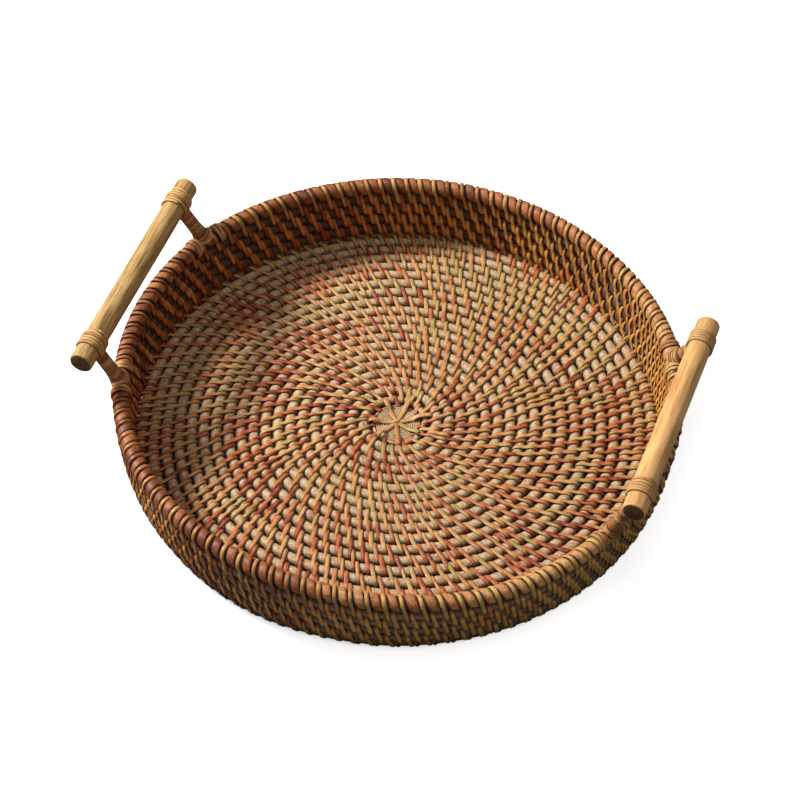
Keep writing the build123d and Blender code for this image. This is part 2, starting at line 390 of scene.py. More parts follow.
# Section of a split strip: flat below and crowned above, as (across, up) in its own units.
STRIP_SECTION = np.array(
    [(-1, 0.3), (-0.8, 0.74), (-0.32, 0.98), (0.32, 0.98)]
    + [(0.8, 0.74), (1, 0.3), (0.75, -0.02), (-0.75, -0.02)]
)


def strip(
    piece, centres, normals, half_width, thickness, closed=False, tone=0.5, start=0.0, deep=0.0
):
    """Adds a strip whose underside follows centres and faces away from normals."""
    ahead = directions(centres, closed)
    wide = unit(np.cross(ahead, normals))
    up = np.cross(wide, ahead)
    half_width = np.broadcast_to(half_width, len(centres))
    thickness = np.broadcast_to(thickness, len(centres))
    across, height = STRIP_SECTION.T[:, None]
    points = (
        centres[:, None]
        + wide[:, None] * (across * half_width[:, None])[..., None]
        + up[:, None] * (height * thickness[:, None])[..., None]
    )
    along = (start + arc_length(centres))[:, None]
    tone = np.broadcast_to(tone, len(centres))[:, None]
    # deep is the painted shade at each centre, from 0 to 1.
    deep = np.broadcast_to(deep, len(centres))[:, None]
    faces = tube_faces(len(centres), len(STRIP_SECTION), closed)
    piece.add(points, faces, along=along, across=across, tone=tone, deep=deep)


# ---- stitches round two canes -------------------------------------------
# One pass of a strip starts in the gap inside the pair, crosses the top to the outer gap
# and returns underneath. share is 0 at the inner cane and 1 at the outer one; lean is the
# angle of the strip's outward normal from the line between the canes.


def pass_table():
    """Share, normal angle and progress (0 to 1) of each point of one pass."""
    arc_points, span_points = 6, 5
    spacing_in_radii = 2.2
    quarter, half = math.pi / 2, math.pi
    half_arc = arc_points // 2
    rows = [(0, half - quarter * i / half_arc) for i in range(half_arc + 1)]
    rows += [(i / span_points, quarter) for i in range(1, span_points)]
    rows += [(1, quarter - half * i / arc_points) for i in range(arc_points + 1)]
    rows += [(1 - i / span_points, -quarter) for i in range(1, span_points)]
    rows += [(0, -quarter - quarter * i / half_arc) for i in range(half_arc)]
    share, lean = np.array(rows, dtype=float).T
    x, y = share * spacing_in_radii + np.cos(lean), np.sin(lean)
    length = np.hypot(np.diff(x, append=x[0]), np.diff(y, append=y[0]))
    progress = np.concatenate([[0], np.cumsum(length)[:-1]]) / length.sum()
    return share, lean, progress


SHARE, LEAN, PROGRESS = pass_table()


def winding(places, spacing, half_run, next_half_run, progress):
    """Place along the cane, in turns, of every point of every pass of a strip.

    half_run is half of how far each pass runs forward on top; it runs the rest of the
    spacing underneath.
    """
    start, end = (places - half_run)[:, None], (places + half_run)[:, None]
    next_start = (places + spacing - next_half_run)[:, None]
    over, under = progress[None, :] * 2, (progress[None, :] - 0.5) * 2
    on_top = start + 2 * half_run[:, None] * over
    return np.where(over < 1, on_top, end * (1 - under) + next_start * under)


def pair_winding(places):
    """Winding of a strip that binds two canes at places."""
    spacing = np.diff(places)
    spacing = np.append(spacing, spacing[-1])
    before = np.concatenate([[spacing[0]], spacing[:-1]])
    half_run = STRIP_LEAN_SHARE * 0.5 * (spacing + before)
    return winding(places, spacing, half_run, np.append(half_run[1:], half_run[-1]), PROGRESS)


def pair_strip(
    piece, places, inner, outer, half_width, thickness, tones, rng, sag=0.4, play=0.03, shown=False
):
    """Adds one long strip that binds two canes together, one pass for each place.

    inner and outer give distance from the axis, height and cane radius at places in turns.
    The strip sags between the canes and has play round them. It gets painted shade where
    it turns round the canes in the gaps, except where shown is set: there its turn round
    the outer cane is in the open.
    """
    turns = pair_winding(places)
    r_in, z_in, c_in = inner(turns)
    r_out, z_out, c_out = outer(turns)
    along_r, along_z = r_out - r_in, z_out - z_in
    size = np.maximum(np.hypot(along_r, along_z), 1e-6)
    e_r, e_z = along_r / size, along_z / size
    n_r = np.cos(LEAN)[None, :] * e_r - np.sin(LEAN)[None, :] * e_z
    n_z = np.cos(LEAN)[None, :] * e_z + np.sin(LEAN)[None, :] * e_r
    share = SHARE[None, :]
    reach = c_in + (c_out - c_in) * share + play - sag * np.sin(math.pi * share) ** 2
    r = r_in + along_r * share + reach * n_r
    z = z_in + along_z * share + reach * n_z
    points = on_tray(r, turns, z).reshape(-1, 3)
    normals = on_tray(n_r, turns, n_z).reshape(-1, 3)
    station = np.arange(len(points))
    middle_of_top = (np.arange(len(places)) + 0.25) * len(SHARE)
    wide = half_width * (1 + 0.12 * rng.standard_normal(len(places)).clip(-1.6, 1.6))
    wide = np.interp(station, middle_of_top, wide)
    thick = thickness * (1 + 0.1 * rng.standard_normal(len(places)).clip(-1.6, 1.6))
    thick = np.interp(station, middle_of_top, thick)
    tone = np.interp(station, middle_of_top, tones)
    # Painted shade where the strip turns round the canes in the gaps, none on an open turn.
    in_gap = np.where((SHARE > 0.5) & shown, 0.0, 1.0)
    deep = np.tile(np.cos(LEAN) ** 4 * in_gap, len(places))
    strip(piece, points, normals, wide, thick, tone=tone, start=rng.uniform(0, 500), deep=deep)


def pass_tones(places, rng, drift):
    """A tone for each pass of a strip: strips change every few passes, and vary along.

    drift makes them darker towards the back left and lighter towards the front right.
    """
    fewest_passes, most_passes = 6, 22
    count = len(places)
    tones = np.empty(count)
    index = 0
    while index < count:
        run = int(rng.integers(fewest_passes, most_passes))
        tones[index:index + run] = rng.uniform(0.08, 0.92)
        index += run
    lighter_towards_end = drift * 0.7 * np.cos(places * TAU + SEAM - LIGHT_END)
    tones = 0.5 + (tones - 0.5) * (1 - drift) + lighter_towards_end
    return np.clip(tones + 0.16 * rng.standard_normal(count), 0, 1)


# ---- materials ----------------------------------------------------------


GAP_SHADE = srgb(38, 14, 5)


class Nodes:
    """Short way to write a material's nodes."""

    def __init__(self, name):
        self.material = bpy.data.materials.new(name)
        self.material.use_nodes = True
        self.tree = self.material.node_tree
        self.tree.nodes.clear()

    def node(self, kind, inputs=None, **settings):
        """A node with its settings and its inputs linked or set."""
        made = self.tree.nodes.new(kind)
        for key, value in settings.items():
            setattr(made, key, value)
        for key, value in (inputs or {}).items():
            socket = made.inputs[key]
            if isinstance(value, bpy.types.NodeSocket):
                self.tree.links.new(value, socket)
            else:
                socket.default_value = value
        return made

    def value(self, name):
        """A point value of the mesh."""
        return self.node("ShaderNodeAttribute", attribute_name=name).outputs["Fac"]

    def math(self, operation, a, b=0.0, clamp=False):
        """One step of arithmetic."""
        made = self.node("ShaderNodeMath", {0: a, 1: b}, operation=operation, use_clamp=clamp)
        return made.outputs[0]

    def vector(self, x, y=0.0, z=0.0):
        """A vector from three values."""
        return self.node("ShaderNodeCombineXYZ", {0: x, 1: y, 2: z}).outputs[0]

    def noise(self, vector, scale, detail=3.0, roughness=0.6):
        """Noise from 0 to 1."""
        made = self.node(
            "ShaderNodeTexNoise",
            {"Vector": vector, "Scale": scale, "Detail": detail, "Roughness": roughness},
        )
        return made.outputs["Fac"]

    def grain(self, place, along_scale, across_scale, scale, detail=3.0, roughness=0.6):
        """Noise drawn out by its own scale along a strip, cane or grip, and across it."""
        along, across, tone = place
        along = self.math("MULTIPLY", along, along_scale)
        across = self.math("MULTIPLY", across, across_scale)
        return self.noise(self.vector(along, across, tone), scale, detail, roughness)

    def ramp(self, value, *stops):
        """Colours along a value from 0 to 1; a stop is its place and display colour."""
        made = self.node("ShaderNodeValToRGB", {"Fac": value})
        ramp = made.color_ramp
        while len(ramp.elements) < len(stops):
            ramp.elements.new(0.5)
        for element, (place, *colour) in zip(ramp.elements, stops):
            element.position = place
            element.color = srgb(*colour)
        return made.outputs["Color"]

    def spread(self, value, low, high, out_low, out_high):
        """A value's range moved to another range."""
        made = self.node("ShaderNodeMapRange", {"Value": value, "From Min": low, "From Max": high})
        made.inputs["To Min"].default_value = out_low
        made.inputs["To Max"].default_value = out_high
        return made.outputs[0]

    def mix(self, share, a, b, blend="MIX"):
        """Two colours blended."""
        made = self.node("ShaderNodeMix", data_type="RGBA", blend_type=blend)
        for socket, value in ((made.inputs[0], share), (made.inputs[6], a), (made.inputs[7], b)):
            if isinstance(value, bpy.types.NodeSocket):
                self.tree.links.new(value, socket)
            else:
                socket.default_value = value
        return made.outputs[2]

    def inward(self):
        """Mask of painted inner shade: 1 facing the tray's axis, 0 facing away or up."""
        geometry = self.node("ShaderNodeNewGeometry").outputs
        facing = self.node(
            "ShaderNodeVectorMath",
            {0: geometry["Normal"], 1: geometry["Position"]},
            operation="DOT_PRODUCT",
        )
        return self.spread(facing.outputs["Value"], 0.01, -0.09, 0.0, 1.0)

    def multiply(self, colour, value):
        """Colour made lighter or darker by one value."""
        return self.mix(1.0, colour, self.vector(value, value, value), blend="MULTIPLY")

    def paint_inner_shade(self, colour, tint):
        """Colour with a tint of painted shade, if one is given, on the side facing the tray's axis.
        """
        if tint is None:
            return colour
        return self.mix(self.inward(), colour, self.mix(1.0, colour, tint, blend="MULTIPLY"))

    def darken(self, colour, deep):
        """Colour that falls to the shade of the gaps where deep is 1."""
        return self.mix(self.math("MULTIPLY", deep, 0.9), colour, GAP_SHADE)

    def finish(self, colour, roughness, height, bump_strength, bump_distance):
        """Connects the surface and returns the material; bump_distance is millimetres."""
        bump = self.node(
            "ShaderNodeBump",
            {"Height": height, "Strength": bump_strength, "Distance": bump_distance * MM},
        )
        surface = self.node(
            "ShaderNodeBsdfPrincipled",
            {
                "Base Color": colour,
                "Roughness": roughness,
                "Normal": bump.outputs[0],
                "Specular IOR Level": 0.45,
            },
        )
        self.node("ShaderNodeOutputMaterial", {"Surface": surface.outputs[0]})
        return self.material


def strip_material(
    name, stops, edge_dark=0.45, roughness=0.33, fibres=3.6, mottle=0.85, inside=None
):
    """Split rattan peel: fine fibres along the strip, blotches, and painted shade at its edges.

    mottle is how dark its stains are; inside is a tint of painted shade on the side that
    faces the tray's axis.
    """
    n = Nodes(name)
    along, across, tone = place = n.value("along"), n.value("across"), n.value("tone")
    fibre = n.grain(place, 0.06, fibres, 3.0, 5.0, 0.75)
    spots = n.vector(n.math("MULTIPLY", along, 0.16), n.math("MULTIPLY", tone, 31.0))
    blotch = n.math("SUBTRACT", n.noise(spots, 1.0), 0.5)
    shade = n.math("ADD", tone, n.math("MULTIPLY", blotch, 1.1), clamp=True)
    colour = n.ramp(shade, *stops)
    fine = n.spread(fibre, 0.3, 0.72, 0.5, 1.25)
    # Painted shade: the strip darkens towards its edges by edge_dark.
    edge = n.spread(n.math("ABSOLUTE", across), 0.5, 1.0, 1.0, 1 - edge_dark)
    stain = n.spread(n.grain(place, 0.5, 1.3, 1.5), 0.36, 0.6, mottle, 1.12)
    colour = n.multiply(colour, n.math("MULTIPLY", n.math("MULTIPLY", fine, edge), stain))
    # Painted shade on the inner side, and painted shade in the gaps.
    colour = n.darken(n.paint_inner_shade(colour, inside), n.value("deep"))
    return n.finish(colour, n.spread(fibre, 0.2, 0.8, roughness, roughness + 0.25), fibre, 0.6, 0.2)


def cane_material(name, stops, gap=1.0, inside=None):
    """Peeled cane: matt, with long pores and patches, and painted shade where it meets its
    neighbours.

    gap below 1 spreads that painted shade wider; inside is a tint of painted shade on the
    side that faces the axis.
    """
    n = Nodes(name)
    place = n.value("along"), n.value("across"), n.value("tone")
    grain = n.grain(place, 0.12, 11.0, 4.0, 5.0, 0.75)
    colour = n.ramp(n.grain(place, 0.34, 2.5, 1.3, 5.0, 0.72), *stops)
    worn = n.spread(n.grain(place, 0.9, 4.0, 1.6), 0.34, 0.6, 0.72, 1.1)
    pores = n.math("MULTIPLY", n.spread(grain, 0.32, 0.7, 0.5, 1.2), worn)
    colour = n.paint_inner_shade(n.multiply(colour, pores), inside)
    colour = n.darken(colour, n.math("POWER", n.value("deep"), gap))
    return n.finish(colour, n.spread(grain, 0.2, 0.8, 0.48, 0.68), grain, 0.6, 0.25)


def grip_material(name, light, middle, dark, streak):
    """Turned wood with grain along it; streak is the share of the fine lines in it."""
    n = Nodes(name)
    place = n.value("along"), n.value("across"), n.value("tone")
    lines = n.grain(place, 0.012, 4.5, 3.2, 5.0, 0.75)
    broad = n.grain(place, 0.02, 2.2, 1.6)
    both = n.math("ADD", n.math("MULTIPLY", lines, streak), n.math("MULTIPLY", broad, 1 - streak))
    colour = n.ramp(both, (0.39, *dark), (0.49, *middle), (0.61, *light))
    roughness = n.spread(lines, 0.2, 0.8, 0.38, 0.62)
    return n.finish(colour, roughness, lines, 0.35, 0.18)


def end_grain_material(name):
    """Sawn end of a grip: dark, open-grained, with faint rings."""
    n = Nodes(name)
    place = n.node("ShaderNodeNewGeometry").outputs["Position"]
    pores = n.noise(place, 1400.0, 3.0, 0.7)
    rings = n.noise(place, 320.0, 2.0, 0.5)
    shade = n.math("ADD", n.math("MULTIPLY", pores, 0.55), n.math("MULTIPLY", rings, 0.45))
    stops = (0.3, 58, 36, 20), (0.55, 104, 72, 42), (0.75, 142, 104, 66)
    colour = n.ramp(shade, *stops)
    return n.finish(colour, 0.8, pores, 0.7, 0.3)


FLOOR_STRIP = strip_material(
    "floor_strip",
    (
        (0.0, 136, 56, 26), (0.22, 180, 92, 44), (0.5, 190, 130, 76), (0.8, 200, 156, 94),
        (1.0, 166, 140, 76),
    ),
)
# The wall's strips are lighter than the floor's as painted light; inside is painted shade.
WALL_STRIP = strip_material(
    "wall_strip",
    (
        (0.0, 134, 60, 24), (0.25, 188, 104, 46), (0.5, 226, 156, 78), (0.8, 236, 186, 100),
        (1.0, 206, 166, 84),
    ),
    inside=(0.86, 0.66, 0.52, 1.0),
    edge_dark=0.6,
    roughness=0.28,
)
RIM_STRIP = strip_material(
    "rim_strip",
    ((0.0, 128, 66, 32), (0.3, 172, 112, 58), (0.6, 200, 148, 80), (1.0, 208, 168, 92)),
)
RIM_BAND = strip_material(
    "rim_band",
    ((0.0, 124, 62, 30), (0.3, 166, 96, 48), (0.6, 188, 118, 64), (1.0, 214, 158, 96)),
    edge_dark=0.6,
    roughness=0.4,
    fibres=4.5,
    mottle=0.62,
)
FLOOR_CANE = cane_material(
    "floor_cane",
    (
        (0.31, 112, 70, 46), (0.38, 200, 132, 102), (0.45, 228, 198, 160),
        (0.52, 178, 168, 124), (0.58, 216, 154, 122), (0.67, 126, 88, 58),
    ),
)
# The floor's cane, coloured darker and redder on the wall as painted shade, more so inside.
WALL_CANES = cane_material(
    "wall_cane",
    ((0.30, 90, 56, 38), (0.42, 144, 110, 84), (0.55, 180, 152, 124), (0.72, 104, 74, 52)),
    gap=0.8,
    inside=(0.34, 0.22, 0.16, 1.0),
)
# The rim hoop and post cores show only in gaps, so they are coloured dark as painted shade.
RIM_CANE = cane_material(
    "rim_cane",
    ((0.3, 70, 34, 16), (0.55, 96, 52, 28), (0.8, 80, 42, 22)),
)
LASHING = strip_material(
    "lashing",
    ((0.0, 132, 72, 38), (0.4, 174, 114, 64), (0.75, 206, 158, 100), (1.0, 204, 166, 100)),
    edge_dark=0.65,
    roughness=0.45,
)
LEFT_GRIP = grip_material("left_grip_wood", (196, 164, 108), (164, 128, 76), (84, 54, 26), 0.8)
RIGHT_GRIP = grip_material("right_grip_wood", (222, 178, 120), (206, 158, 100), (176, 128, 74), 0.3)
END_GRAIN = end_grain_material("grip_end_grain")


# ---- floor and wall -----------------------------------------------------


def midway(places):
    """Places midway between neighbours round one turn that closes on itself."""
    return (places + np.append(places[1:], places[0] + 1)) / 2


def crossings(places):
    """Places where a strip crosses the top of the cane: its own course and the next one's."""
    spacing = np.diff(places, append=places[-1] + places[-1] - places[-2])
    shift = STRIP_LEAN_SHARE * 0.5 * spacing
    return np.sort(np.concatenate([places + shift, places - 1 - shift]))


# How much the cane swells between the strips that cross it.
SWELLING = 0.24

# How much painted shade darkens the side of the floor's last turn under the foot of the wall.
FOOT_SHADE = 0.65


def lay_cane(name, first, last, material, slot, *nodes, crossed=(), tone=0.5, step=0.95):
    """One length of the winding cane; step is the length of its parts."""
    mean_radius = float(cane_path((first + last) / 2)[0])
    count = max(40, int((last - first) * TAU * mean_radius / step))
    turns = np.linspace(first, last, count)
    radius, height, cane = cane_path(turns)
    centres = on_tray(radius, turns, height)
    cane = cane * (1 + 0.02 * wave(turns * 60, 3) + 0.012 * wave(turns * 400, 4))
    if len(crossed):
        after = np.clip(np.searchsorted(crossed, turns), 1, len(crossed) - 1)
        low, high = crossed[after - 1], crossed[after]
        share = np.clip((turns - low) / np.maximum(high - low, 1e-6), 0, 1)
        wide = np.clip((high - low) * TAU * radius / 4, 0, 1)
        cane = cane + SWELLING * wide * np.sin(math.pi * share) - SWELLING / 2
    inner_radius, inner_height, _ = cane_path(turns - 1)
    step_out = np.where(turns < 0, 1.0, radius - inner_radius)
    step_up = np.where(turns < 0, 0.0, height - inner_height)
    side = on_tray(step_out, turns, step_up)
    # Painted shade on the side of the floor's last turn under the foot of the wall.
    shade = np.where((turns > FLOOR_TURNS - 1) & (turns < FLOOR_TURNS), FOOT_SHADE, 0.0)
    piece = Piece()
    round_cane(piece, centres, side, cane, tone=tone, shade=shade)
    piece.build(name, material, slot, *nodes)


def make_canes(places):
    """Every length of the winding cane."""
    crossed = crossings(places)
    first, last = -THIN_TURNS, THIN_END
    lay_cane("centre_coil", first, last, FLOOR_CANE, "start_cane", "centre_start_coil", step=0.6)
    for number, (first, last) in enumerate(zip(FLOOR_SPLICES, FLOOR_SPLICES[1:]), start=1):
        name, node = f"floor_cane_{number}", f"base_core_cane_{number}"
        tone = 0.2 * number
        lay_cane(name, first, last, FLOOR_CANE, "core_cane", node, crossed=crossed, tone=tone)
    for row in range(1, WALL_ROWS + 1):
        name, node = f"wall_cane_{row}", f"wall_coil_{row}"
        last = FLOOR_TURNS + row
        tone = 0.3 * row
        lay_cane(name, last - 1, last, WALL_CANES, "core_cane", node, crossed=crossed, tone=tone)


def make_stitches(places):
    """One long strip for every turn of the floor and every row of the wall."""
    for turn in range(ALL_TURNS):
        low = turn if turn else -1
        course = places[(places >= low) & (places < turn + 1)]
        rng = np.random.default_rng(SEED + 100 + turn)
        if turn < FLOOR_TURNS:
            name, node = f"floor_strip_{turn + 1:02d}", f"base_binding_{turn + 1:02d}"
            material, half_width, drift = FLOOR_STRIP, STRIP_HALF_WIDTH, 0.0
        else:
            row = turn + 1 - FLOOR_TURNS
            name, node = f"wall_strip_{row}", f"wall_binding_{row}"
            material, half_width, drift = WALL_STRIP, STRIP_HALF_WIDTH * WALL_STRIP_SCALE, 0.5
        tones = pass_tones(course, rng, drift)
        piece = Piece()
        canes = (lambda turns: cane_path(turns - 1)), cane_path
        pair_strip(piece, course, *canes, half_width, STRIP_THICKNESS, tones, rng)
        piece.build(name, material, "binding_strip", node)


# The long stitches that cross the centre: directions in degrees from +X, and lengths.
SPOKE_ANGLES = (30, 83, 136, 200, 244, 290, 342)
SPOKE_REACHES = (18.0, 18.5, 16.0, 14.0, 13.5, 15.5, 13.5)


def make_centre():
    """Long stitches that cross the thin coil like spokes."""
    rng = np.random.default_rng(SEED + 5)
    points_across, points_down = 18, 5
    above_coil, climb, climb_from, climb_over, dip = 0.75, 2.1, 7.5, 5, 3.4
    half_width, thickness = 1.42, 0.62
    piece = Piece()
    for number, (degrees, reach) in enumerate(zip(SPOKE_ANGLES, SPOKE_REACHES)):
        angle = math.radians(degrees)
        share = np.linspace(-0.06, 1, points_across)
        radius = share * reach
        lift = 0.75 * np.exp(-((radius / 2.5) ** 2)) * (number % 4) / 3
        height = FLOOR_HEIGHT + above_coil + lift + climb * ease((radius - climb_from) / climb_over)
        down = np.linspace(0, 1, points_down + 1)[1:]
        radius = np.concatenate([radius, reach + 1.3 * np.sin(down * math.pi / 2)])
        height = np.concatenate([height, height[-1] - dip * down ** 1.6])
        bend = angle + 0.04 * np.sin(radius / 6 + number)
        centres = polar(radius, bend, height)
        tilt = np.concatenate([np.zeros(points_across), down * math.pi / 2])
        normals = outward(tilt, bend)
        width = half_width * (0.55 + 0.45 * ease(np.abs(radius) / 4))
        # Painted shade where the spoke's end dips down between the canes.
        deep = np.concatenate([np.zeros(points_across), down])
        tone = 0.72 + 0.25 * rng.uniform(-1, 1)
        start = 40.0 * number
        strip(piece, centres, normals, width, thickness, tone=tone, start=start, deep=deep)
        under = centres[:points_across].copy()
        under[:, 2] = 2 * FLOOR_HEIGHT - under[:, 2]
        down = np.broadcast_to([0, 0, -1.0], under.shape)
        strip(piece, under, down, width[:points_across], 0.6, tone=0.4, start=9.0 * number)
    piece.build("centre_spokes_strip", FLOOR_STRIP, "start_cane", "centre_spokes")


# ---- rim ----------------------------------------------------------------


def rim_core_path(turns):
    """The rim hoop, in the same terms as the winding cane."""
    return [np.full_like(turns, value) for value in (RIM_RADIUS, RIM_HEIGHT, RIM_CORE)]


def top_row_path(turns):
    """The top wall row, less the deepest part of its climb from the row below."""
    deepest = 1.5
    radius, height, cane = cane_path(ALL_TURNS - 1 + np.mod(turns, 1.0))
    level = FLOOR_HEIGHT + ROW_RISE * WALL_ROWS - EDGE_SINK
    return radius, np.maximum(height, level - deepest), cane


def make_rim(places):
    """Rim hoop, long strips down to the top row, and broad bands between them."""
    count = 720
    turns = np.arange(count) / count
    centres = on_tray(RIM_RADIUS, turns, np.full(count, RIM_HEIGHT))
    side = on_tray(1.0, turns, np.zeros(count))
    core = Piece()
    round_cane(core, centres, side, RIM_CORE, around=16, closed=True)
    core.build("rim_hoop", RIM_CANE, "core_cane", "rim_core")

    long_places = midway(places[places >= ALL_TURNS - 1] % 1.0)
    rng = np.random.default_rng(SEED + 300)
    tones = pass_tones(long_places, rng, 0.5)
    size = LONG_HALF_WIDTH, LONG_THICKNESS
    piece = Piece()
    pair_strip(
        piece, long_places, top_row_path, rim_core_path, *size, tones, rng, 0.5, 0.12, shown=True
    )
    piece.build("rim_long_strips", RIM_STRIP, "binding_strip", "rim_binding")
    make_rim_pads(long_places, rng)


def make_rim_pads(long_places, rng):
    """One broad strip round the hoop alone, with a turn in each gap of the long strips."""
    places = midway(long_places)
    per_pass = 24
    lift, clearance = 0.12, 0.9
    progress = np.arange(per_pass) / per_pass
    spacing = np.diff(places, append=places[0] + 1)
    half_run = STRIP_LEAN_SHARE * spacing
    turns = winding(places, spacing, half_run, np.roll(half_run, -1), progress).reshape(-1)
    tilt = np.tile(progress * TAU - math.pi, len(places))
    reach = RIM_CORE + lift
    radius, height = RIM_RADIUS + reach * np.sin(tilt), RIM_HEIGHT + reach * np.cos(tilt)
    points = on_tray(radius, turns, height)
    normals = outward(tilt, turns * TAU + SEAM)
    free = spacing * TAU * RIM_RADIUS - 2 * LONG_HALF_WIDTH - clearance
    wide = np.minimum(free / 2, PAD_HALF_WIDTH) * rng.uniform(0.88, 1.06, len(places))
    station = np.arange(len(points))
    middle = (np.arange(len(places)) + 0.5) * per_pass
    wide = np.interp(station, middle, wide)
    tones = np.interp(station, middle, pass_tones(places, rng, 0.5))
    pads = Piece()
    strip(pads, points, normals, wide, PAD_THICKNESS, tone=tones, start=7.0)
    pads.build("rim_pads", RIM_BAND, "binding_strip", "rim_wrap")


# ---- handles ------------------------------------------------------------


def node_centre(node):
    """Middle of a CAD node's box, in millimetres."""
    low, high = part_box(node)
    return np.array([(a + b) / 2 for a, b in zip(low, high)]) / MM


# The worn edge of a grip's end: distance from the end, and how far the surface is worn down.
END_DISTANCE = np.array((0, 0.25, 0.7))
END_WEAR = np.array((0.75, 0.3, 0.06))
GRIP_RINGS = 60
GRIP_AROUND = 40


def make_grip(side, material):
    """Wooden grip: a slightly uneven dowel with worn edges and sawn ends.

    Returns its radius and how much it rises for each millimetre towards +Y.
    """
    low, high = (np.array(corner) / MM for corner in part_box(f"{side}_grip"))
    centre = (low + high) / 2
    length, radius = high[1] - low[1], (high[0] - low[0]) / 2
    front, rear = (node_centre(f"{side}_{corner}_grip_lashing") for corner in ("front", "rear"))
    slope = (rear[2] - front[2]) / (rear[1] - front[1])

    middle = np.linspace(1.6, length - 1.6, GRIP_RINGS)
    y = np.concatenate([END_DISTANCE, middle, length - END_DISTANCE[::-1]])
    wear = np.concatenate([END_WEAR, np.zeros(GRIP_RINGS), END_WEAR[::-1]])
    turn = np.arange(GRIP_AROUND) / GRIP_AROUND * TAU
    seed = 20 if side == "left" else 30
    base = radius - wear - 0.05 + 0.05 * wave(y / 16, seed)
    facets = 0.10 * np.cos(3 * turn + seed) + 0.05 * np.cos(7 * turn)
    rings = base[:, None] + facets[None, :] * 0.6
    rise = slope * (low[1] + y - centre[1])
    points = np.stack(
        [
            centre[0] + rings * np.cos(turn)[None, :],
            np.broadcast_to((low[1] + y)[:, None], rings.shape),
            centre[2] + rings * np.sin(turn)[None, :] + rise[:, None],
        ],
        axis=-1,
    )
    last_ring = (len(y) - 1) * GRIP_AROUND
    faces = tube_faces(len(y), GRIP_AROUND, True)[:last_ring]
    across = np.broadcast_to(np.abs(turn / math.pi - 1)[None, :] * 2, rings.shape)
    along = y[:, None] + 300.0 * (side == "left")
    piece = Piece()
    piece.add(points, faces, along=along, across=across, tone=0.3)
    ends = [end_faces(0, GRIP_AROUND)[:, ::-1], end_faces(last_ring, GRIP_AROUND)]
    piece.faces += ends
    made = piece.build(f"{side}_grip_dowel", material, "grip_wood", f"{side}_grip", warp=False)
    made.data.materials.append(END_GRAIN)
    material_numbers = np.zeros(len(made.data.polygons), dtype=np.int32)
    material_numbers[-sum(len(end) for end in ends):] = 1
    made.data.polygons.foreach_set("material_index", material_numbers)
    made.data.update()
    return radius, slope


def wind_grip(piece, centre, slope, toward, radius, rng):
    """Adds the strip wound tightly round a grip, pulled out a little toward the post."""
    turns, half_length, points_per_turn = 5.2, 4.9, 36
    pull, pull_width = 1.0, 0.6
    count = int(turns * points_per_turn) + 1
    share = np.linspace(0, 1, count)
    turn = share * turns * TAU + rng.uniform(0, TAU)
    wander = 0.10 * wave(turn, int(rng.integers(1, 999)), 0.2, 0.8)
    along = 2 * half_length * share - half_length + wander
    direction = np.stack([np.cos(turn), np.zeros(count), np.sin(turn)], axis=-1)
    facing = np.clip(direction @ unit(np.array([toward[0], 0.0, toward[2]])), -1, 1)
    out = radius + 0.03 + pull * np.exp(-((np.arccos(facing) / pull_width) ** 2))
    points = centre + direction * out[:, None]
    points[:, 1] += along
    points[:, 2] += slope * along
    tone = np.clip(0.78 + 0.22 * wave(turn, int(rng.integers(1, 999)), 0.1, 0.5), 0, 1)
    width = 0.98 * (1 + 0.06 * wave(turn, int(rng.integers(1, 999)), 0.1, 0.4))
    strip(piece, points, direction, width, 0.98, tone=tone, start=rng.uniform(0, 300))


# Half widths of a wrapped post, along the rim and across it, at distances from its foot.
POST_HEIGHTS = (0.0, 1.6, 3.0, 4.6, 7.0, 11.0, 40.0)
POST_ALONG_RIM = (6.4, 6.1, 5.6, 4.9, 4.2, 3.75, 3.7)
POST_ACROSS_RIM = (5.0, 4.9, 4.6, 4.2, 3.8, 3.55, 3.5)


def post_surface(at, turn, foot, axis, tangent, grow):
    """Points and normals of the wrapped post, which sits on the rim like a saddle.

    at is the distance from the foot, turn the angle round the post, and grow is added to
    its half widths.
    """
    other = unit(tangent - axis * np.dot(tangent, axis))
    third = np.cross(axis, other)
    long = np.interp(at, POST_HEIGHTS, POST_ALONG_RIM) + grow
    wide = np.interp(at, POST_HEIGHTS, POST_ACROSS_RIM) + grow
    sideways = wide * np.sin(turn)
    seat = RIM_CORE + 0.85 + grow
    saddle = np.sqrt(np.clip(seat**2 - sideways**2, 0, None))
    height = np.maximum(at, saddle)
    points = (
        foot
        + other * (long * np.cos(turn))[..., None]
        + third * sideways[..., None]
        + axis * height[..., None]
    )
    resting = np.clip(saddle - at, 0, 1.5) / 1.5
    flat = other * (np.cos(turn) / long)[..., None] + third * (np.sin(turn) / wide)[..., None]
    on_rim = third * (sideways / seat)[..., None] + axis * (height / seat)[..., None]
    on_rim = on_rim + other * (0.5 * np.cos(turn))[..., None]
    normals = unit(flat) * (1 - resting)[..., None] + unit(on_rim) * resting[..., None]
    return points, unit(normals)


